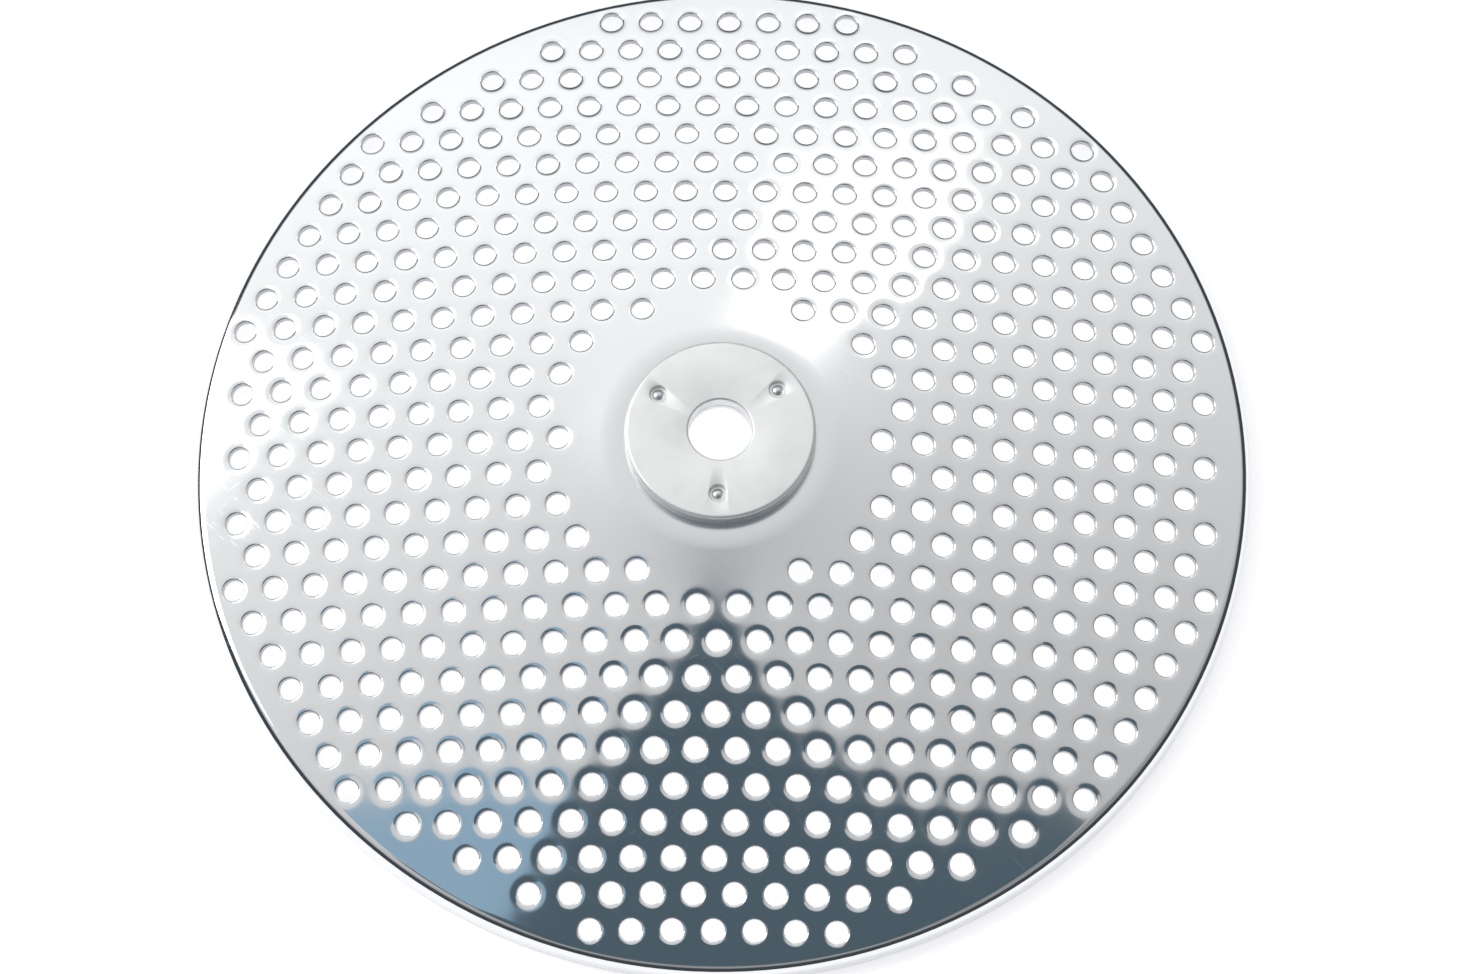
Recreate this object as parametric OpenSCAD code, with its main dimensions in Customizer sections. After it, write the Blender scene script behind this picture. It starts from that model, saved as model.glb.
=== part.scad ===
// Sieve disc of a food mill: a perforated sheet disc, pressed to a shallow cone with a
// turned-down rim, and a thicker round hub plate that three rivets hold on its flat centre.
// The axis of the disc is Z, the rim stands on z = 0 and the hub is on top.
// Holes sit in straight rows along X, so three rows in each direction cross at every hole.

/* [Sheet disc] */
// Outside diameter of the disc over its rim
disc_d = 140; // [120:1:144]
// Thickness of the sheet
sheet_t = 0.8; // [0.5:0.05:1.2]
// Height of the straight part of the turned-down rim
rim_wall_h = 1.8; // [0.8:0.1:6]
// Outside radius of the bend between the cone and the rim
rim_bend_r = 2; // [1.5:0.1:4]
// Slope of the cone in degrees where it meets the rim bend
outer_slope = 13.3; // [12:0.1:16]
// Slope of the cone in degrees where it meets the neck
inner_slope = 9.9; // [8:0.1:11]
// Radius of the neck, the soft bend between the flat centre and the cone
neck_r = 17; // [8:0.5:30]
// Width of the flat ring that shows round the hub plate
seat_margin = 0.5; // [0.3:0.1:3]

/* [Perforation] */
// Diameter of the small holes
hole_d = 3; // [2:0.1:3.6]
// Distance between the centres of neighbouring holes
hole_pitch = 5.32; // [5.2:0.02:8]
// Plain width between the neck and the nearest hole
inner_land = 2.6; // [0.5:0.1:10]
// Plain width between the rim bend and the nearest hole
outer_land = 0.4; // [0.2:0.1:8]

/* [Hub plate] */
// Diameter of the hub plate
hub_d = 25; // [24:0.5:32]
// Thickness of the hub plate
hub_t = 2.2; // [1.5:0.1:4]
// Diameter of the bore for the shaft of the crank, through hub plate and sheet
bore_d = 8.4; // [6:0.1:11]
// Rounding of the hub plate's upper outer edge
hub_edge_r = 0.5; // [0.2:0.05:0.7]
// Rounding of the hub plate's lower outer edge and lower bore edge
hub_foot_r = 0.2; // [0.1:0.05:0.4]
// Rounding of the bore's upper edge
bore_edge_r = 0.3; // [0.1:0.05:0.6]

/* [Rivets] */
// Diameter of a rivet's shank
rivet_d = 1.6; // [1.3:0.1:1.9]
// Diameter of the pit that a rivet's upper end sits in
pit_d = 2.25; // [2:0.05:3]
// Depth of that pit
pit_depth = 0.5; // [0.3:0.05:0.7]
// Depth of the rivet's domed end below the hub plate's face
dome_recess = 0.15; // [0.05:0.05:0.2]
// Diameter of the low round head under the sheet
head_d = 3.2; // [2.6:0.1:4]
// Height of that head
head_h = 0.8; // [0.4:0.1:1.2]
// Distance of the right rivet from the axis
right_rivet_r = 9.4; // [7.5:0.1:10]
// Direction of the right rivet in degrees from +X
right_rivet_angle = 37.6; // [15:0.1:60]
// Distance of the left rivet from the axis
left_rivet_r = 9.5; // [7.5:0.1:10]
// Direction of the left rivet in degrees from +X
left_rivet_angle = 149; // [120:0.5:170]
// Distance of the front rivet from the axis
front_rivet_r = 8.9; // [7.5:0.1:10]
// Direction of the front rivet in degrees from +X
front_rivet_angle = 269; // [240:0.5:300]

/* [Hidden] */
disc_r = disc_d/2;
bore_r = bore_d/2;
hub_r = hub_d/2;
rivet_r = rivet_d/2;
// Cuts run past a face by this much
spare = 1;
// Neighbouring arcs of the section stand this far proud of true tangents, so that each
// pair of curves crosses at one clear point
proud = 0.002;
turned_fn = 128;
arc_fn = 720;
hole_fn = 24;
// Half planes of the section reach this far
far = 2*disc_d;

// Direction in the section, in degrees from straight up towards the rim
function toward(a) = [sin(a), cos(a)];

// The section of the sheet's upper side is made of three arcs, found from the rim inwards
bend_centre = [disc_r - rim_bend_r, rim_wall_h];
cone_end = bend_centre + rim_bend_r*toward(outer_slope);
seat_r = hub_r + seat_margin;
cone_start_x = seat_r + neck_r*sin(inner_slope);
cone_r = (cone_end[0] - cone_start_x)/(sin(outer_slope) - sin(inner_slope));
cone_centre = cone_end - cone_r*toward(outer_slope);
cone_start = cone_centre + cone_r*toward(inner_slope);
neck_centre = [seat_r, cone_start[1] - neck_r*cos(inner_slope)];
seat_z = neck_centre[1] + neck_r;
hub_z = seat_z + hub_t;

// Centres of the holes lie between these two radii
field_in_r = cone_start_x + inner_land + hole_d/2;
field_out_r = cone_end[0] - outer_land - hole_d/2;
row_step = hole_pitch*sqrt(3)/2;
rows = floor(field_out_r/row_step);
columns = ceil(field_out_r/hole_pitch);

rivet_places = [
  right_rivet_r*[cos(right_rivet_angle), sin(right_rivet_angle)],
  left_rivet_r*[cos(left_rivet_angle), sin(left_rivet_angle)],
  front_rivet_r*[cos(front_rivet_angle), sin(front_rivet_angle)]
];

// Rectangle of the section between two corners
module block(low, high) {
  translate(low) square(high - low);
}

// All of the section that an arc does not cut off: the arc runs from one direction to
// another round its centre, and nothing is cut beside it
module under_arc(centre, r, from, to) {
  translate(centre) {
    circle(r = r, $fn = arc_fn);
    polygon([for (a = [0, 90, 180]) far*toward(from - a)]);
    polygon([for (a = [0, 90, 180]) far*toward(to + a)]);
  }
}

// Section of everything that lies more than a given depth below the upper side
module below_surface(depth) {
  intersection() {
    block([-far, -far], [disc_r - depth, seat_z - depth]);
    under_arc(neck_centre, neck_r + proud - depth, 0, inner_slope);
    translate(cone_centre) circle(r = cone_r - depth, $fn = arc_fn);
    under_arc(bend_centre, rim_bend_r + proud - depth, outer_slope, 90);
  }
}

module sheet_section() {
  intersection() {
    block([bore_r, 0], [disc_r + spare, seat_z + spare]);
    difference() {
      below_surface(0);
      below_surface(sheet_t);
    }
  }
}

// A round tool that passes the sheet at right angles to it, at one place of the cone
module hole_tool(x, y) {
  r = norm([x, y]);
  slope = asin((r - cone_centre[0])/cone_r);
  z = cone_centre[1] + cone_r*cos(slope);
  translate([x, y, z]) rotate([0, slope, atan2(y, x)])
    cylinder(d = hole_d, h = 4*sheet_t, center = true, $fn = hole_fn);
}

module hole_field() {
  for (row = [-rows:rows], column = [-columns:columns]) {
    x = hole_pitch*(column + (row % 2)/2);
    y = row_step*row;
    if (norm([x, y]) > field_in_r && norm([x, y]) < field_out_r) hole_tool(x, y);
  }
}

module at_rivets() {
  for (place = rivet_places) translate(place) children();
}

module sieve_plate() {
  color([0.78, 0.79, 0.80]) difference() {
    rotate_extrude($fn = turned_fn) sheet_section();
    hole_field();
    at_rivets() translate([0, 0, seat_z - sheet_t - spare])
      cylinder(d = rivet_d, h = sheet_t + 2*spare, $fn = hole_fn);
  }
}

// What a rounding takes off the corner of a section: the corner points along the signs
module corner_waste(corner, r, signs) {
  translate([corner[0] - signs[0]*r, corner[1] - signs[1]*r])
    scale([signs[0], signs[1]]) difference() {
      square(r + spare/10);
      circle(r = r, $fn = hole_fn);
    }
}

module hub_section() {
  difference() {
    block([bore_r, seat_z], [hub_r, hub_z]);
    corner_waste([hub_r, hub_z], hub_edge_r, [1, 1]);
    corner_waste([hub_r, seat_z], hub_foot_r, [1, -1]);
    corner_waste([bore_r, hub_z], bore_edge_r, [-1, 1]);
    corner_waste([bore_r, seat_z], hub_foot_r, [-1, -1]);
  }
}

module hub_plate() {
  color([0.84, 0.84, 0.83]) difference() {
    rotate_extrude($fn = turned_fn) hub_section();
    at_rivets() {
      translate([0, 0, seat_z - spare]) cylinder(d = rivet_d, h = hub_t + 2*spare, $fn = hole_fn);
      translate([0, 0, hub_z - pit_depth]) cylinder(d = pit_d, h = pit_depth + spare, $fn = hole_fn);
    }
  }
}

// Section of a round cap on z = 0, from its base radius and its height
module cap_section(base_r, height) {
  ball_r = (base_r*base_r + height*height)/(2*height);
  intersection() {
    translate([0, height - ball_r]) circle(r = ball_r, $fn = turned_fn);
    block([0, 0], [base_r, height + spare]);
  }
}

module rivet() {
  under_z = seat_z - sheet_t;
  neck_z = hub_z - pit_depth;
  translate([0, 0, under_z]) cylinder(r = rivet_r, h = neck_z - under_z, $fn = hole_fn);
  translate([0, 0, neck_z]) rotate_extrude($fn = hole_fn)
    cap_section(rivet_r, pit_depth - dome_recess);
  translate([0, 0, under_z]) mirror([0, 0, 1]) rotate_extrude($fn = hole_fn)
    cap_section(head_d/2, head_h);
}

module rivets() {
  color([0.70, 0.71, 0.72]) at_rivets() rivet();
}

sieve_plate();
hub_plate();
rivets();
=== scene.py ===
# %% [markdown]
# # Sieve disc of a food mill
# A thin polished sheet is pressed to a shallow cone, punched with 516 round holes and turned
# down at its rim. A thicker satin hub plate is riveted on its flat middle. This notebook
# builds the finished surfaces of those pieces around the imported CAD model, in metres.
#
# The CAD model comes first: it is the frame that every piece has to stay inside.

# %% Load the frame
from math import asin, atan2, ceil, cos, floor, hypot, pi, radians, sin, sqrt

import bpy
import numpy as np
from mathutils import Matrix, Vector


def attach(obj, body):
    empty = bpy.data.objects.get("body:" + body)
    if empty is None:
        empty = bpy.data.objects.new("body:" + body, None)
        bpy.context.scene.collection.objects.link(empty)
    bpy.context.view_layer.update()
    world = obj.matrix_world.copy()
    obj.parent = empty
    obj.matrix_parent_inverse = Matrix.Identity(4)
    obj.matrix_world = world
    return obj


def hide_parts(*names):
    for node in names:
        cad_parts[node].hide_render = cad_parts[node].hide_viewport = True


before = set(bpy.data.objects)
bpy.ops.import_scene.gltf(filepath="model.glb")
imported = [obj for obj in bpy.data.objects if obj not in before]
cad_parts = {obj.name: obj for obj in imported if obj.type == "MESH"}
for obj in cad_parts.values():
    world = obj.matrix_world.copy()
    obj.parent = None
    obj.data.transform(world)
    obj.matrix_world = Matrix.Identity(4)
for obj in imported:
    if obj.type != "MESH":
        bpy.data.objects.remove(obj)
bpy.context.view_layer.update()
bpy.ops.object.select_all(action="DESELECT")

# %% [markdown]
# ## Sizes
# A pressed disc is drawn as one section and turned round its axis. These are the section's
# sizes: the flat seat in the middle, the soft neck round it, the long cone, which is itself a
# very flat arc, and the bend that leads into the short straight wall of the rim. The centres
# of the three arcs follow from the rim inwards, so the numbers can't contradict each other.

# %% Sizes of the section
mm = 0.001
disc_r = 70 * mm
sheet_t = 0.8 * mm
rim_wall_h = 1.8 * mm
rim_bend_r = 2 * mm
outer_slope = radians(13.3)
inner_slope = radians(9.9)
neck_r = 17 * mm
bore_r = 4.2 * mm
hub_r = 12.5 * mm
hub_t = 2.2 * mm
seat_r = hub_r + 0.5 * mm

bend_x, bend_z = disc_r - rim_bend_r, rim_wall_h
cone_end_x = bend_x + rim_bend_r * sin(outer_slope)
cone_end_z = bend_z + rim_bend_r * cos(outer_slope)
cone_start_x = seat_r + neck_r * sin(inner_slope)
cone_r = (cone_end_x - cone_start_x) / (sin(outer_slope) - sin(inner_slope))
cone_x = cone_end_x - cone_r * sin(outer_slope)
cone_z = cone_end_z - cone_r * cos(outer_slope)
cone_start_z = cone_z + cone_r * cos(inner_slope)
neck_x, neck_z = seat_r, cone_start_z - neck_r * cos(inner_slope)
seat_z = neck_z + neck_r
hub_z = seat_z + hub_t
print(f"seat at {seat_z / mm:.3f} mm, hub face at {hub_z / mm:.3f} mm")

# %% [markdown]
# ## Camera
# The disc is seen from in front and well above, with a long lens. The camera is set by where
# it stands, where it looks and how it is rolled.

# %% Camera
camera_data = bpy.data.cameras.new("product_camera")
camera_data.sensor_width = 36
camera_data.lens = 164.83
camera_data.clip_start = 0.01
camera_data.clip_end = 100
camera = bpy.data.objects.new("product_camera", camera_data)
bpy.context.collection.objects.link(camera)
camera_forward = Vector((-0.01651099, 0.36295718, -0.93165952))
camera_up = Vector((-0.01072898, 0.93166858, 0.36315085))
camera_place = Vector((15.75797, -323.55566, 826.77896)) * mm
camera_right = camera_forward.cross(camera_up).normalized()
camera_turn = Matrix((camera_right, camera_up, -camera_forward)).transposed().to_4x4()
camera.matrix_world = Matrix.Translation(camera_place) @ camera_turn
bpy.context.scene.camera = camera
bpy.context.scene.view_settings.view_transform = "Standard"
print(f"camera {camera_place.length:.3f} m away")

# %% [markdown]
# ## Helpers for modelling
# A section is drawn with a pen, as by hand: one vertex is set down, extruded along straight
# lines and spun round a centre for each arc. Blender's spin works on a single vertex too, and
# then it leaves a chain of edges. With every line closed, one more spin round Z makes a solid.

# %% Pen for sections
pen = Vector((0, 0, 0))


def start_section(name, x, z):
    bpy.ops.object.select_all(action="DESELECT")
    bpy.ops.mesh.primitive_plane_add(size=mm, location=(x, 0, z))
    piece = bpy.context.object
    piece.name = piece.data.name = name
    bpy.ops.object.transform_apply(location=True, rotation=True, scale=True)
    bpy.ops.object.mode_set(mode="EDIT")
    bpy.ops.mesh.select_mode(type="VERT")
    bpy.ops.mesh.select_all(action="SELECT")
    bpy.ops.mesh.merge(type="CENTER")
    pen[:] = x, 0, z
    return piece


def line_to(x, z):
    step = (x - pen.x, 0, z - pen.z)
    bpy.ops.mesh.extrude_region_move(TRANSFORM_OT_translate={"value": step})
    pen[:] = x, 0, z


def arc(centre_x, centre_z, angle, steps):
    """Turns outwards and down for a positive angle."""
    bpy.ops.mesh.spin(steps=steps, angle=-angle, center=(centre_x, 0, centre_z), axis=(0, 1, 0))
    x, z = pen.x - centre_x, pen.z - centre_z
    pen.x = centre_x + x * cos(angle) + z * sin(angle)
    pen.z = centre_z + z * cos(angle) - x * sin(angle)


def turn_section(sides):
    bpy.ops.mesh.select_all(action="SELECT")
    bpy.ops.mesh.spin(steps=sides, angle=2 * pi, center=(0, 0, 0), axis=(0, 0, 1))
    bpy.ops.mesh.select_all(action="SELECT")
    bpy.ops.mesh.remove_doubles(threshold=0.001 * mm)
    bpy.ops.mesh.normals_make_consistent(inside=False)
    bpy.ops.object.mode_set(mode="OBJECT")


# %% [markdown]
# A ring edge is rounded with a bevel. The ring is found by its radius and height, which is
# how one would pick it on a drawing.

# %% Rounding of a ring edge
def round_ring(piece, r, z, width, segments):
    bpy.ops.object.mode_set(mode="OBJECT")
    mesh = piece.data
    near = [abs(hypot(v.co.x, v.co.y) - r) < 0.01 * mm and abs(v.co.z - z) < 0.01 * mm
            for v in mesh.vertices]
    for v in mesh.vertices:
        v.select = False
    for face in mesh.polygons:
        face.select = False
    for edge in mesh.edges:
        edge.select = near[edge.vertices[0]] and near[edge.vertices[1]]
    bpy.ops.object.mode_set(mode="EDIT")
    bpy.ops.mesh.select_mode(type="EDGE")
    bpy.ops.mesh.bevel(offset=width, segments=segments, affect="EDGES")
    bpy.ops.mesh.select_mode(type="VERT")
    bpy.ops.object.mode_set(mode="OBJECT")


# %% [markdown]
# ## Sheet disc: the pressed sheet
# The upper side is drawn from the bore outwards, then the lower side back, one sheet
# thickness deeper. The cone gets a ring every 2 mm or so and the bend more, because this
# mirror-like sheet shows every flat facet.

# %% Spin the pressed sheet
sheet = start_section("perforated_sheet", bore_r, seat_z)
line_to(seat_r, seat_z)
arc(neck_x, neck_z, inner_slope, 6)
arc(cone_x, cone_z, outer_slope - inner_slope, 24)
arc(bend_x, bend_z, pi / 2 - outer_slope, 10)
line_to(disc_r, 0)
line_to(disc_r - sheet_t, 0)
line_to(disc_r - sheet_t, rim_wall_h)
arc(bend_x, bend_z, outer_slope - pi / 2, 8)
arc(cone_x, cone_z, inner_slope - outer_slope, 12)
arc(neck_x, neck_z, -inner_slope, 4)
line_to(bore_r, seat_z - sheet_t)
line_to(bore_r, seat_z)
turn_section(192)
for edge_r in (disc_r, disc_r - sheet_t):
    round_ring(sheet, edge_r, 0, 0.12 * mm, 2)
for edge_z in (seat_z, seat_z - sheet_t):
    round_ring(sheet, bore_r, edge_z, 0.1 * mm, 2)
print("pressed sheet:", len(sheet.data.polygons), "faces")

# %% [markdown]
# ## Sheet disc: the holes
# The holes are punched from above. A punch draws the sheet in a little before it shears it,
# so each hole starts with a shallow rounded mouth and goes on straight. One punch of that
# shape is modelled, with 20 sides in four bands, and copied to every place. The places are
# straight rows half a pitch apart, so any three neighbours make an equal-sided triangle. Each
# punch stands at right angles to the cone.

# %% Places of the holes
hole_pitch = 5.32 * mm
hole_r = 1.5 * mm
row_step = hole_pitch * sqrt(3) / 2
field_in_r = cone_start_x + 2.6 * mm + hole_r
field_out_r = cone_end_x - 0.4 * mm - hole_r
rows = floor(field_out_r / row_step)
columns = ceil(field_out_r / hole_pitch)


def cone_slope(r):
    return asin((r - cone_x) / cone_r)


hole_places = []
for row in range(-rows, rows + 1):
    for column in range(-columns, columns + 1):
        place = (hole_pitch * (column + row % 2 / 2), row_step * row)
        if field_in_r < hypot(*place) < field_out_r:
            hole_places.append(place)
print(len(hole_places), "holes")


# %% Model one punch
def turned_cutter(name, bands, sides):
    """A round cutter from pairs of radius and height, the highest first."""
    bpy.ops.object.select_all(action="DESELECT")
    top_r, top_z = bands[0]
    bpy.ops.mesh.primitive_circle_add(vertices=sides, radius=top_r, fill_type="NGON",
                                      location=(0, 0, top_z))
    cutter = bpy.context.object
    cutter.name = name
    bpy.ops.object.transform_apply(location=True, rotation=True, scale=True)
    bpy.ops.object.mode_set(mode="EDIT")
    bpy.ops.mesh.select_all(action="SELECT")
    for (last_r, last_z), (r, z) in zip(bands, bands[1:]):
        bpy.ops.mesh.extrude_region_move(TRANSFORM_OT_translate={"value": (0, 0, z - last_z)})
        bpy.ops.transform.resize(value=(r / last_r, r / last_r, 1), center_override=(0, 0, z))
    bpy.ops.mesh.select_all(action="SELECT")
    bpy.ops.mesh.normals_make_consistent(inside=False)
    bpy.ops.object.mode_set(mode="OBJECT")
    return cutter


mouth_r = 1.82 * mm
punch = turned_cutter("punch", [
    (1.95 * mm, 0.30 * mm), (1.95 * mm, 0.022 * mm), (1.65 * mm, -0.028 * mm),
    (1.55 * mm, -0.07 * mm), (hole_r, -0.14 * mm), (hole_r, -1.6 * mm)], 20)
print("punch:", len(punch.data.polygons), "faces")

# %% [markdown]
# The rivets' shanks pass the sheet in three more holes, under the hub plate. The three
# rivets don't sit quite evenly, as on a disc that was drilled by hand.

# %% Copy the punch to every place and cut
rivet_r = 0.8 * mm
rivet_places = [(r * mm * cos(radians(a)), r * mm * sin(radians(a)))
                for r, a in ((9.4, 37.6), (9.5, 149), (8.9, 269))]
shank_punch = turned_cutter("shank_punch", [
    (rivet_r, mm), (rivet_r, -2 * sheet_t)], 24)


def copy_to(cutter, places):
    copies = []
    for place in places:
        one = cutter.copy()
        one.data = cutter.data.copy()
        one.matrix_world = place
        bpy.context.collection.objects.link(one)
        copies.append(one)
    bpy.data.objects.remove(cutter)
    return copies


def on_cone(x, y):
    r = hypot(x, y)
    z = cone_z + cone_r * cos(cone_slope(r))
    turn = Matrix.Rotation(atan2(y, x), 4, "Z") @ Matrix.Rotation(cone_slope(r), 4, "Y")
    return Matrix.Translation((x, y, z)) @ turn


def join(parts):
    bpy.ops.object.select_all(action="DESELECT")
    for part in parts:
        part.select_set(True)
    bpy.context.view_layer.objects.active = parts[0]
    bpy.ops.object.join()
    bpy.ops.object.transform_apply(location=True, rotation=True, scale=True)
    return parts[0]


def cut(piece, cutter):
    boolean = piece.modifiers.new("cut", "BOOLEAN")
    boolean.operation = "DIFFERENCE"
    boolean.solver = "MANIFOLD"
    boolean.object = cutter
    bpy.ops.object.select_all(action="DESELECT")
    piece.select_set(True)
    bpy.context.view_layer.objects.active = piece
    bpy.ops.object.modifier_apply(modifier="cut")
    bpy.data.objects.remove(cutter)


punches = copy_to(punch, [on_cone(x, y) for x, y in hole_places])
punches += copy_to(shank_punch, [Matrix.Translation((x, y, seat_z)) for x, y in rivet_places])
cut(sheet, join(punches))
sheet.data.calc_loop_triangles()
print("perforated sheet:", len(sheet.data.loop_triangles), "triangles")

# %% [markdown]
# ## Sheet disc: true normals
# After the cut, long thin triangles run between the holes. Their averaged normals would make
# a mirror finish look dented, so every corner that lies on the pressed surface gets the
# normal that the section has there. All other corners keep their own, which is asked for by
# a zero vector. The walls of the holes are marked in a face attribute for the material.

# %% Normals of the pressed surface
bpy.ops.object.select_all(action="DESELECT")
sheet.select_set(True)
bpy.context.view_layer.objects.active = sheet
bpy.ops.object.shade_smooth_by_angle(angle=radians(38))
mesh = sheet.data
co = np.empty(len(mesh.vertices) * 3)
mesh.vertices.foreach_get("co", co)
co = co.reshape(-1, 3)
vertex_r = np.hypot(co[:, 0], co[:, 1])


def surface_lean(r, z):
    """Slope of the pressed surface over each point, and how far below its upper side it is."""
    lean = np.zeros_like(r)
    depth = seat_z - z
    for centre_x, centre_z, arc_r, from_lean, to_lean in (
            (neck_x, neck_z, neck_r, 0, inner_slope),
            (cone_x, cone_z, cone_r, inner_slope, outer_slope),
            (bend_x, bend_z, rim_bend_r, outer_slope, pi / 2)):
        here = np.arctan2(r - centre_x, z - centre_z)
        on_arc = (here > from_lean) & (here <= to_lean) & (r > seat_r)
        lean = np.where(on_arc, here, lean)
        depth = np.where(on_arc, arc_r - np.hypot(r - centre_x, z - centre_z), depth)
    return lean, depth


vertex_lean, vertex_depth = surface_lean(vertex_r, co[:, 2])
outward = co[:, :2] / np.maximum(vertex_r, mm)[:, None]
true_normal = np.column_stack([outward * np.sin(vertex_lean)[:, None], np.cos(vertex_lean)])
side = np.where(np.abs(vertex_depth) < 0.006 * mm, 1,
                np.where(np.abs(vertex_depth - sheet_t) < 0.006 * mm, -1, 0))
side[(vertex_r < seat_r) & (vertex_r > bore_r + 0.2 * mm) & (side == 0)] = 0
side[co[:, 2] < rim_wall_h * 0.98] = 0
true_normal *= side[:, None]

corner_vertex = np.empty(len(mesh.loops), dtype=np.int32)
mesh.loops.foreach_get("vertex_index", corner_vertex)
face_normal = np.empty(len(mesh.polygons) * 3)
mesh.polygons.foreach_get("normal", face_normal)
face_normal = face_normal.reshape(-1, 3)
face_corners = np.empty(len(mesh.polygons), dtype=np.int32)
mesh.polygons.foreach_get("loop_total", face_corners)
corner_face = np.repeat(np.arange(len(mesh.polygons)), face_corners)
corner_normal = true_normal[corner_vertex]
agrees = (corner_normal * face_normal[corner_face]).sum(axis=1) > cos(radians(30))
corner_normal[~agrees] = 0
mesh.normals_split_custom_set(corner_normal.tolist())
print("corners on the pressed surface:", int(agrees.sum()), "of", len(agrees))

# %% Mark the walls of the holes
centre = np.empty(len(mesh.polygons) * 3)
mesh.polygons.foreach_get("center", centre)
centre = centre.reshape(-1, 3)
centre_r = np.hypot(centre[:, 0], centre[:, 1])
face_lean, face_depth = surface_lean(centre_r, centre[:, 2])
face_out = centre[:, :2] / np.maximum(centre_r, mm)[:, None]
up = np.column_stack([face_out * np.sin(face_lean)[:, None], np.cos(face_lean)])
upright = np.abs((up * face_normal).sum(axis=1))
in_field = (centre_r > field_in_r - 2 * hole_r) & (centre_r < cone_end_x)
wall = (upright < 0.3) & in_field & (face_depth > 0.1 * mm)
attribute = mesh.attributes.new("hole_wall", "FLOAT", "FACE")
attribute.data.foreach_set("value", wall.astype(np.float32))
print("wall faces:", int(wall.sum()))

# %% [markdown]
# ## Hub plate
# The hub plate is a thick washer with rounded edges, made the same way: its square section
# is spun, the four ring edges are rounded by bevels, and the three pits for the rivets are
# cut, each with a shank hole below it.

# %% Hub plate
bore_edge_r = 0.3 * mm
hub_foot_r = 0.2 * mm
hub_edge_r = 0.5 * mm
hub = start_section("hub_disc", bore_r, hub_z)
line_to(hub_r, hub_z)
line_to(hub_r, seat_z)
line_to(bore_r, seat_z)
line_to(bore_r, hub_z)
turn_section(160)
round_ring(hub, hub_r, hub_z, hub_edge_r, 6)
round_ring(hub, hub_r, seat_z, hub_foot_r, 3)
round_ring(hub, bore_r, hub_z, bore_edge_r, 4)
round_ring(hub, bore_r, seat_z, hub_foot_r, 3)

pit_r = 1.125 * mm
pit_depth = 0.5 * mm
pit_cutter = turned_cutter("pit_cutter", [
    (pit_r + 0.2 * mm, 0.3 * mm), (pit_r + 0.2 * mm, 0.03 * mm), (pit_r + 0.08 * mm, -0.02 * mm),
    (pit_r, -0.10 * mm), (pit_r - 0.03 * mm, -0.42 * mm), (pit_r - 0.1 * mm, -pit_depth),
    (rivet_r, -pit_depth), (rivet_r, -hub_t - mm)], 32)
pits = copy_to(pit_cutter, [Matrix.Translation((x, y, hub_z)) for x, y in rivet_places])
cut(hub, join(pits))
bpy.ops.object.shade_smooth_by_angle(angle=radians(30))
hub.data.calc_loop_triangles()
print("hub plate:", len(hub.data.loop_triangles), "triangles")

# %% [markdown]
# ## Rivets
# Only the upset ends of the rivets show, as little domes in the pits. Under the sheet they
# have low round heads. One rivet is drawn as a section on its own axis, spun, and copied.

# %% Rivets
rivet_head_r, rivet_head_h = 1.6 * mm, 0.8 * mm
dome_h = 0.35 * mm


def cap_arc(base_r, height):
    """Radius of a round cap and the angle from its top to its base."""
    ball_r = (base_r ** 2 + height ** 2) / (2 * height)
    return ball_r, asin(min(1, base_r / ball_r))


head_ball, head_angle = cap_arc(rivet_head_r, rivet_head_h)
dome_ball, dome_angle = cap_arc(rivet_r, dome_h)
rivet = start_section("hub_rivets", 0, dome_h)
arc(0, dome_h - dome_ball, dome_angle, 8)
line_to(rivet_r, pit_depth - hub_t - sheet_t)
line_to(rivet_head_r, pit_depth - hub_t - sheet_t)
arc(0, pen.z - rivet_head_h + head_ball, head_angle, 8)
turn_section(32)
neck_level = hub_z - pit_depth
rivets = join(copy_to(rivet, [Matrix.Translation((x, y, neck_level)) for x, y in rivet_places]))
rivets.name = rivets.data.name = "hub_rivets"
bpy.ops.object.shade_smooth_by_angle(angle=radians(40))
print("rivets:", len(rivets.data.polygons), "faces, lowest", min(v.co.z for v in rivets.data.vertices))

# %% [markdown]
# ## Helpers for materials
# Shader trees are built from small steps. Each helper adds one node, links what it is given,
# and gives back the node's output.

# %% Node helpers
def put(tree, value, socket):
    if isinstance(value, bpy.types.NodeSocket):
        tree.links.new(value, socket)
    else:
        socket.default_value = value


def calc(tree, operation, *values):
    node = tree.nodes.new("ShaderNodeMath")
    node.operation = operation
    for value, socket in zip(values, node.inputs):
        put(tree, value, socket)
    return node.outputs[0]


def vector_calc(tree, operation, *values):
    node = tree.nodes.new("ShaderNodeVectorMath")
    node.operation = operation
    for value, socket in zip(values, node.inputs):
        put(tree, value, socket)
    return node.outputs["Value" if operation in {"LENGTH", "DOT_PRODUCT"} else "Vector"]


def scaled(tree, vector, factor):
    node = tree.nodes.new("ShaderNodeVectorMath")
    node.operation = "SCALE"
    put(tree, vector, node.inputs[0])
    put(tree, factor, node.inputs["Scale"])
    return node.outputs["Vector"]


def remap(tree, value, from_min, from_max, to_min, to_max, smooth=True):
    node = tree.nodes.new("ShaderNodeMapRange")
    node.interpolation_type = "SMOOTHSTEP" if smooth else "LINEAR"
    for given, name in ((value, "Value"), (from_min, "From Min"), (from_max, "From Max"),
                        (to_min, "To Min"), (to_max, "To Max")):
        put(tree, given, node.inputs[name])
    return node.outputs["Result"]


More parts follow.
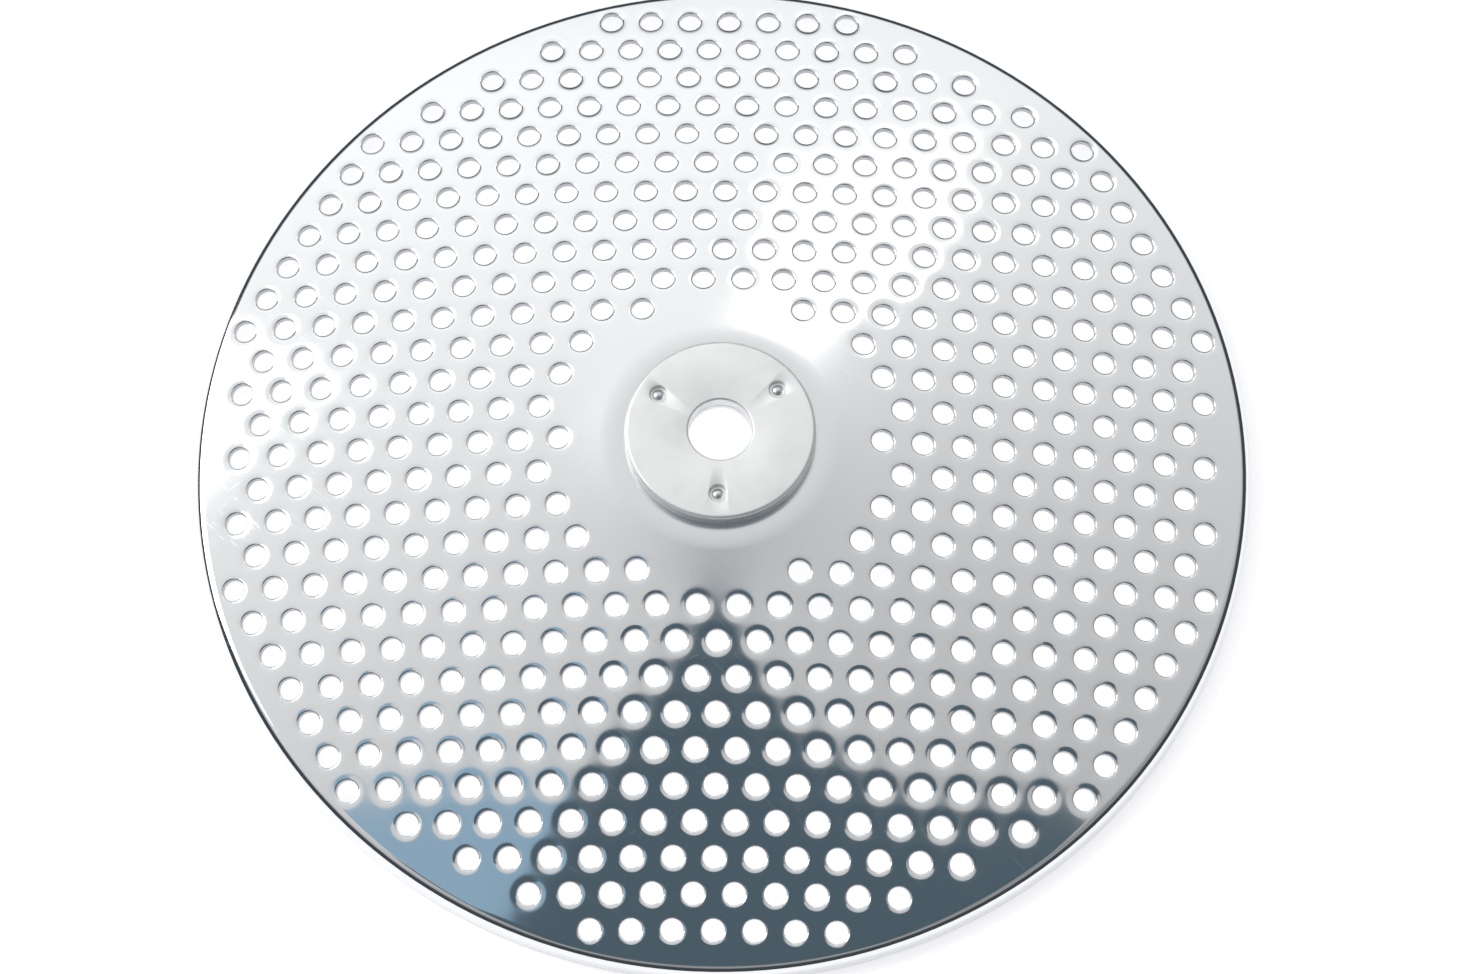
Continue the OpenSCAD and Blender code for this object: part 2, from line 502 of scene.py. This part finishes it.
def blend(tree, factor, first, second):
    node = tree.nodes.new("ShaderNodeMix")
    node.data_type = "RGBA"
    put(tree, factor, node.inputs["Factor"])
    colours = [socket for socket in node.inputs if socket.type == "RGBA"]
    put(tree, first, colours[0])
    put(tree, second, colours[1])
    return [socket for socket in node.outputs if socket.type == "RGBA"][0]


def noise(tree, vector, scale, detail=2, output="Fac"):
    node = tree.nodes.new("ShaderNodeTexNoise")
    put(tree, vector, node.inputs["Vector"])
    node.inputs["Scale"].default_value = scale
    node.inputs["Detail"].default_value = detail
    return node.outputs[output]


def new_group(name, inputs, outputs):
    group = bpy.data.node_groups.new(name, "ShaderNodeTree")
    for side_name, sockets in (("INPUT", inputs), ("OUTPUT", outputs)):
        for socket_name, kind in sockets:
            group.interface.new_socket(socket_name, in_out=side_name, socket_type=kind)
    return group, group.nodes.new("NodeGroupInput").outputs, group.nodes.new("NodeGroupOutput").inputs


def use_group(tree, group, **values):
    node = tree.nodes.new("ShaderNodeGroup")
    node.node_tree = group
    for name, value in values.items():
        put(tree, value, node.inputs[name])
    return node.outputs


FLOAT, VECTOR = "NodeSocketFloat", "NodeSocketVector"

# %% [markdown]
# ## Effect: drawn-in mouths
# Round every hole the sheet is drawn down a little, over a wider ring than the mouth that is
# modelled. It leans by a degree or less, but a mirror doubles that, and it is what breaks up
# every reflection between the holes. The group finds the nearest place of the hole pattern:
# the pattern is two rectangular grids, one shifted by half a step each way, so rounding to
# each grid and taking the closer point gives the hole. Then it leans the normal towards it.

# %% Group: drawn-in mouths
dimples, dimples_in, dimples_out = new_group(
    "drawn_in_mouths", (("Position", VECTOR), ("Normal", VECTOR), ("Lean", FLOAT)),
    (("Normal", VECTOR), ("Distance", FLOAT), ("Place", VECTOR)))
flat_position = vector_calc(dimples, "MULTIPLY", dimples_in["Position"], (1, 1, 0))
grid_step = (hole_pitch, 2 * row_step, 1)


def nearest_on_grid(shift):
    moved = vector_calc(dimples, "SUBTRACT", flat_position, shift)
    steps = vector_calc(dimples, "DIVIDE", moved, grid_step)
    whole = vector_calc(dimples, "FLOOR", vector_calc(dimples, "ADD", steps, (0.5, 0.5, 0)))
    return vector_calc(dimples, "ADD", vector_calc(dimples, "MULTIPLY", whole, grid_step), shift)


def offset_from(place):
    """Vector from a hole's centre along the cone, lengthened where the cone leans."""
    flat = vector_calc(dimples, "SUBTRACT", flat_position, place)
    outwards = vector_calc(dimples, "NORMALIZE", place)
    along = vector_calc(dimples, "DOT_PRODUCT", flat, outwards)
    rise = calc(dimples, "MULTIPLY", along, 0.21)
    length = calc(dimples, "SQRT", calc(
        dimples, "ADD", vector_calc(dimples, "DOT_PRODUCT", flat, flat),
        calc(dimples, "MULTIPLY", rise, rise)))
    return flat, length


first_place = nearest_on_grid((0, 0, 0))
second_place = nearest_on_grid((hole_pitch / 2, row_step, 0))
first_flat, first_distance = offset_from(first_place)
second_flat, second_distance = offset_from(second_place)
second_wins = calc(dimples, "LESS_THAN", second_distance, first_distance)


def pick(first, second):
    return vector_calc(dimples, "ADD", first, scaled(
        dimples, vector_calc(dimples, "SUBTRACT", second, first), second_wins))


place = pick(first_place, second_place)
flat = pick(first_flat, second_flat)
distance = calc(dimples, "MINIMUM", first_distance, second_distance)
place_r = vector_calc(dimples, "LENGTH", place)
punched = calc(dimples, "MULTIPLY", calc(dimples, "GREATER_THAN", place_r, field_in_r),
               calc(dimples, "LESS_THAN", place_r, field_out_r))
falling = calc(dimples, "EXPONENT", calc(
    dimples, "DIVIDE", calc(dimples, "SUBTRACT", mouth_r, distance), 0.22 * mm))
fading_in = remap(dimples, distance, 1.65 * mm, mouth_r, 0, 1, smooth=False)
chance = dimples.nodes.new("ShaderNodeTexWhiteNoise")
chance.noise_dimensions = "3D"
put(dimples, vector_calc(dimples, "FLOOR", scaled(dimples, place, 1 / (0.1 * mm))), chance.inputs["Vector"])
uneven = remap(dimples, chance.outputs["Value"], 0, 1, 0.6, 1.4, smooth=False)
lean = calc(dimples, "MULTIPLY", calc(dimples, "MINIMUM", falling, 1), fading_in)
for factor in (punched, uneven, dimples_in["Lean"]):
    lean = calc(dimples, "MULTIPLY", lean, factor)
away = vector_calc(dimples, "NORMALIZE", flat)
leaned = vector_calc(dimples, "SUBTRACT", dimples_in["Normal"], scaled(dimples, away, lean))
put(dimples, vector_calc(dimples, "NORMALIZE", leaned), dimples_out["Normal"])
put(dimples, distance, dimples_out["Distance"])
put(dimples, place, dimples_out["Place"])
print("group:", dimples.name, len(dimples.nodes), "nodes")

# %% [markdown]
# ## Effect: gentle waves
# Pressed sheet is never quite even. A slow noise leans the normal by a fraction of a degree,
# which bends reflections without showing as a texture.

# %% Group: gentle waves
waves, waves_in, waves_out = new_group(
    "gentle_waves", (("Position", VECTOR), ("Normal", VECTOR), ("Scale", FLOAT), ("Lean", FLOAT)),
    (("Normal", VECTOR),))
wave_noise = waves.nodes.new("ShaderNodeTexNoise")
put(waves, waves_in["Position"], wave_noise.inputs["Vector"])
put(waves, waves_in["Scale"], wave_noise.inputs["Scale"])
wave_noise.inputs["Detail"].default_value = 1.5
swing = vector_calc(waves, "SUBTRACT", wave_noise.outputs["Color"], (0.5, 0.5, 0.5))
waved = vector_calc(waves, "ADD", waves_in["Normal"], scaled(waves, swing, waves_in["Lean"]))
put(waves, vector_calc(waves, "NORMALIZE", waved), waves_out["Normal"])

# %% [markdown]
# ## Effect: hair scratches
# Wiping and stacking leave hair-thin straight scratches. A noise that is stretched very long
# in one direction and cut off near its peaks gives short fine lines, and a second slow noise
# keeps them in patches.

# %% Group: hair scratches
scratches, scratches_in, scratches_out = new_group(
    "hair_scratches", (("Position", VECTOR), ("Angle", FLOAT), ("Width", FLOAT), ("Length", FLOAT),
                       ("Cut", FLOAT)), (("Mask", FLOAT),))
turn = scratches.nodes.new("ShaderNodeVectorRotate")
turn.rotation_type = "Z_AXIS"
put(scratches, scratches_in["Position"], turn.inputs["Vector"])
put(scratches, scratches_in["Angle"], turn.inputs["Angle"])
across = scratches.nodes.new("ShaderNodeCombineXYZ")
put(scratches, calc(scratches, "DIVIDE", 1, scratches_in["Length"]), across.inputs["X"])
put(scratches, calc(scratches, "DIVIDE", 1, scratches_in["Width"]), across.inputs["Y"])
stretched = vector_calc(scratches, "MULTIPLY", turn.outputs["Vector"], across.outputs["Vector"])
line_noise = noise(scratches, stretched, 1, 1)
patch_noise = noise(scratches, turn.outputs["Vector"], 70, 1)
line_level = calc(scratches, "ADD", line_noise, calc(
    scratches, "MULTIPLY", calc(scratches, "SUBTRACT", patch_noise, 0.5), 0.35))
cut_level = calc(scratches, "ADD", scratches_in["Cut"], 0.05)
put(scratches, remap(scratches, line_level, scratches_in["Cut"], cut_level, 0, 1),
    scratches_out["Mask"])

# %% [markdown]
# ## Material: polished sheet
# Near-mirror stainless steel. The plain middle is a little more matt, since the press and the
# hub's fitting touched it, and the walls of the holes are sheared metal, which is darker and
# rough. Metal has no colour of its own beyond its base colour: all else is what it reflects.

# %% Polished sheet
def new_material(name):
    material = bpy.data.materials.new(name)
    material.use_nodes = True
    tree = material.node_tree
    shader = tree.nodes["Principled BSDF"]
    position = tree.nodes.new("ShaderNodeTexCoord").outputs["Object"]
    normal = tree.nodes.new("ShaderNodeNewGeometry").outputs["Normal"]
    return material, tree, shader, position, normal


polished, tree, shader, position, normal = new_material("polished_sheet")
shader.inputs["Metallic"].default_value = 1
mouth = use_group(tree, dimples, Position=position, Normal=normal, Lean=0.10)
bent = use_group(tree, waves, Position=position, Normal=mouth["Normal"], Scale=60, Lean=0.012)
put(tree, bent["Normal"], shader.inputs["Normal"])
wiped = use_group(tree, scratches, Position=position, Angle=0.75, Width=0.10 * mm,
                  Length=4 * mm, Cut=0.70)["Mask"]
rubbed = use_group(tree, scratches, Position=position, Angle=-0.5, Width=0.12 * mm,
                   Length=3 * mm, Cut=0.74)["Mask"]
marks = calc(tree, "MAXIMUM", wiped, rubbed)
sheared = tree.nodes.new("ShaderNodeAttribute")
sheared.attribute_name = "hole_wall"
radius = vector_calc(tree, "LENGTH", vector_calc(tree, "MULTIPLY", position, (1, 1, 0)))
matt_middle = remap(tree, radius, 14 * mm, 26 * mm, 0.22, 0.07)
with_marks = calc(tree, "ADD", matt_middle, calc(tree, "MULTIPLY", marks, 0.12))
roughness = calc(tree, "MAXIMUM", with_marks, calc(tree, "MULTIPLY", sheared.outputs["Fac"], 0.35))
put(tree, roughness, shader.inputs["Roughness"])
clean_steel = (0.80, 0.81, 0.82, 1)
sheared_steel = (0.52, 0.53, 0.55, 1)
put(tree, blend(tree, sheared.outputs["Fac"], clean_steel, sheared_steel), shader.inputs["Base Color"])
sheet.data.materials.clear()
sheet.data.materials.append(polished)

# %% [markdown]
# ## Material: satin plate
# The hub plate was tumbled, which leaves a fine even grain, and later scuffed by the crank.

# %% Satin plate
satin, tree, shader, position, normal = new_material("satin_plate")
shader.inputs["Metallic"].default_value = 0.8
grain = noise(tree, position, 2600, 2)
blotch = noise(tree, position, 260, 3)
scuffs = use_group(tree, scratches, Position=position, Angle=1.1, Width=0.09 * mm,
                   Length=1.8 * mm, Cut=0.66)["Mask"]
put(tree, calc(tree, "ADD", remap(tree, blotch, 0.3, 0.7, 0.38, 0.50),
               calc(tree, "MULTIPLY", scuffs, -0.12)), shader.inputs["Roughness"])
put(tree, blend(tree, remap(tree, blotch, 0.35, 0.75, 0, 1), (0.95, 0.95, 0.945, 1),
                (0.90, 0.90, 0.895, 1)), shader.inputs["Base Color"])
bump = tree.nodes.new("ShaderNodeBump")
bump.inputs["Strength"].default_value = 0.25
bump.inputs["Distance"].default_value = 0.02 * mm
put(tree, calc(tree, "ADD", grain, calc(tree, "MULTIPLY", scuffs, -0.6)), bump.inputs["Height"])
put(tree, bump.outputs["Normal"], shader.inputs["Normal"])
hub.data.materials.clear()
hub.data.materials.append(satin)

# %% Rivet steel
riveted, tree, shader, position, normal = new_material("rivet_steel")
shader.inputs["Metallic"].default_value = 1
fleck = noise(tree, position, 900, 3)
put(tree, remap(tree, fleck, 0.3, 0.7, 0.25, 0.42), shader.inputs["Roughness"])
put(tree, blend(tree, fleck, (0.74, 0.745, 0.75, 1), (0.62, 0.63, 0.64, 1)),
    shader.inputs["Base Color"])
rivets.data.materials.clear()
rivets.data.materials.append(riveted)

# %% [markdown]
# ## Floor
# The disc lies on a plain white table. What the camera and the mirror see of it is mostly its
# own pale light, and a weaker diffuse part keeps the soft shadow under the disc.

# %% Floor
bpy.ops.object.select_all(action="DESELECT")
bpy.ops.mesh.primitive_plane_add(size=6, location=(0, 0, 0))
table = bpy.context.object
table.name = "white_table"
table_paint = bpy.data.materials.new("white_table")
table_paint.use_nodes = True
tree = table_paint.node_tree
tree.nodes.clear()
diffuse = tree.nodes.new("ShaderNodeBsdfDiffuse")
diffuse.inputs["Color"].default_value = (0.8, 0.8, 0.81, 1)
glow = tree.nodes.new("ShaderNodeEmission")
glow.inputs["Color"].default_value = (0.995, 0.99, 1, 1)
rays = tree.nodes.new("ShaderNodeLightPath")
seen = calc(tree, "MAXIMUM", rays.outputs["Is Camera Ray"], rays.outputs["Is Glossy Ray"])
seen = calc(tree, "MAXIMUM", seen, rays.outputs["Is Transmission Ray"])
table_glow = 0.60
put(tree, calc(tree, "MULTIPLY", seen, table_glow), glow.inputs["Strength"])
both = tree.nodes.new("ShaderNodeAddShader")
put(tree, diffuse.outputs[0], both.inputs[0])
put(tree, glow.outputs[0], both.inputs[1])
put(tree, both.outputs[0], tree.nodes.new("ShaderNodeOutputMaterial").inputs["Surface"])
table.data.materials.append(table_paint)

# %% [markdown]
# ## Studio light
# A metal object is lit by what it mirrors. Above the table is a large pale dome that gets
# brighter towards the back and the left and falls off to dark near the horizon, which draws
# the dark line along the rim. The camera itself sees plain white.

# %% Dome
world = bpy.data.worlds.new("pale_dome")
bpy.context.scene.world = world
world.use_nodes = True
tree = world.node_tree
tree.nodes.clear()
ray = tree.nodes.new("ShaderNodeTexCoord").outputs["Generated"]
parts = tree.nodes.new("ShaderNodeSeparateXYZ")
put(tree, ray, parts.inputs[0])
height = calc(tree, "MAXIMUM", parts.outputs["Z"], 0.02)
to_right = calc(tree, "DIVIDE", parts.outputs["X"], height)
to_back = calc(tree, "DIVIDE", parts.outputs["Y"], height)
level = calc(tree, "ADD", 0.66, calc(tree, "MULTIPLY", to_back, 0.45))
level = calc(tree, "SUBTRACT", level, calc(tree, "MULTIPLY", to_right, 0.21))
level = calc(tree, "MINIMUM", calc(tree, "MAXIMUM", level, 0.30), 1.25)
raised = remap(tree, parts.outputs["Z"], 0.42, 0.66, 0, 1)
dome_colour = blend(tree, raised, (0.055, 0.065, 0.075, 1), (0.985, 0.995, 1, 1))
dome_level = calc(tree, "ADD", calc(tree, "MULTIPLY", raised, calc(tree, "SUBTRACT", level, 1)), 1)
rays = tree.nodes.new("ShaderNodeLightPath")
dome = tree.nodes.new("ShaderNodeBackground")
put(tree, dome_colour, dome.inputs["Color"])
put(tree, dome_level, dome.inputs["Strength"])
white = tree.nodes.new("ShaderNodeBackground")
choose = tree.nodes.new("ShaderNodeMixShader")
put(tree, rays.outputs["Is Camera Ray"], choose.inputs[0])
put(tree, dome.outputs[0], choose.inputs[1])
put(tree, white.outputs[0], choose.inputs[2])
white.inputs["Color"].default_value = (1, 1, 1, 1)
put(tree, choose.outputs[0], tree.nodes.new("ShaderNodeOutputWorld").inputs["Surface"])

# %% [markdown]
# ## Cards
# Two kinds of card hang 3 m over the table. A small bright softbox at the back makes the
# blown-out patch, and soft dark cards towards the front make the dark reflection. A place is
# given as a slope, which is how far a mirrored ray moves sideways for each metre it rises.
# Only mirrored rays meet the dark cards, so they don't stand in the way of other views.

# %% Softbox
card_height = 3.0
softbox_data = bpy.data.lights.new("back_softbox", "AREA")
softbox_data.shape = "RECTANGLE"
softbox_data.size = 0.28 * card_height
softbox_data.size_y = 0.24 * card_height
softbox_radiance = 1.9
softbox_data.energy = softbox_radiance * pi * softbox_data.size * softbox_data.size_y
softbox = bpy.data.objects.new("back_softbox", softbox_data)
softbox.location = (0.20 * card_height, 0.93 * card_height, card_height)
bpy.context.collection.objects.link(softbox)

# %% [markdown]
# A second, larger panel stands to the left. The cone mirrors nothing from so low a place, so
# it shows only in the rounded edges and mouths, and it lifts the satin hub plate.

# %% Side panel
panel_data = bpy.data.lights.new("left_panel", "AREA")
panel_data.shape = "SQUARE"
panel_data.size = 1.6
panel_radiance = 4
panel_data.energy = panel_radiance * pi * panel_data.size ** 2
panel = bpy.data.objects.new("left_panel", panel_data)
panel.location = (-2.08, 0.80, 1.60)
panel.rotation_euler = (-panel.location).to_track_quat("-Z", "Y").to_euler()
bpy.context.collection.objects.link(panel)


# %% Dark cards
def hang_card(name, slopes, height, colour):
    bpy.ops.object.select_all(action="DESELECT")
    start = slopes[0]
    bpy.ops.mesh.primitive_plane_add(size=mm, location=(start[0] * height, start[1] * height, height))
    card = bpy.context.object
    card.name = name
    bpy.ops.object.transform_apply(location=True, rotation=True, scale=True)
    bpy.ops.object.mode_set(mode="EDIT")
    bpy.ops.mesh.select_mode(type="VERT")
    bpy.ops.mesh.select_all(action="SELECT")
    bpy.ops.mesh.merge(type="CENTER")
    for (last_u, last_v), (u, v) in zip(slopes, slopes[1:]):
        step = ((u - last_u) * height, (v - last_v) * height, 0)
        bpy.ops.mesh.extrude_region_move(TRANSFORM_OT_translate={"value": step})
    bpy.ops.mesh.select_all(action="SELECT")
    bpy.ops.mesh.edge_face_add()
    bpy.ops.object.mode_set(mode="OBJECT")
    paint = bpy.data.materials.new(name)
    paint.use_nodes = True
    paint.node_tree.nodes.clear()
    emission = paint.node_tree.nodes.new("ShaderNodeEmission")
    emission.inputs["Color"].default_value = (*colour, 1)
    output = paint.node_tree.nodes.new("ShaderNodeOutputMaterial")
    paint.node_tree.links.new(emission.outputs[0], output.inputs["Surface"])
    card.data.materials.append(paint)
    card.visible_camera = card.visible_diffuse = card.visible_shadow = False
    card.visible_transmission = card.visible_volume_scatter = False


dark_slopes = ((-0.22, -0.083), (-0.13, -0.05), (-0.08, -0.025), (-0.05, -0.008), (-0.02, -0.008),
               (0.02, -0.02), (0.06, -0.045), (0.144, -0.064), (0.24, -0.064), (0.38, -0.004),
               (0.6, -0.3), (0.5, -1.0), (-0.5, -1.0), (-0.6, -0.3))
hang_card("dark_card", dark_slopes, card_height, (0.085, 0.125, 0.155))
side_slopes = ((-0.44, 0.0025), (-0.33, -0.04), (-0.20, -0.083), (-0.5, -0.5))
hang_card("blue_card", side_slopes, card_height - 0.01, (0.30, 0.45, 0.58))

# %% [markdown]
# ## Hand over
# Each piece rides on the model's one body and stands for its CAD node, which is hidden.

# %% Ride, replace
for piece, node, slot_name in ((sheet, "sieve_plate", "polished_sheet"),
                               (hub, "hub_plate", "satin_plate"),
                               (rivets, "rivets", "rivet_steel")):
    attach(piece, "root")
    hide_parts(node)
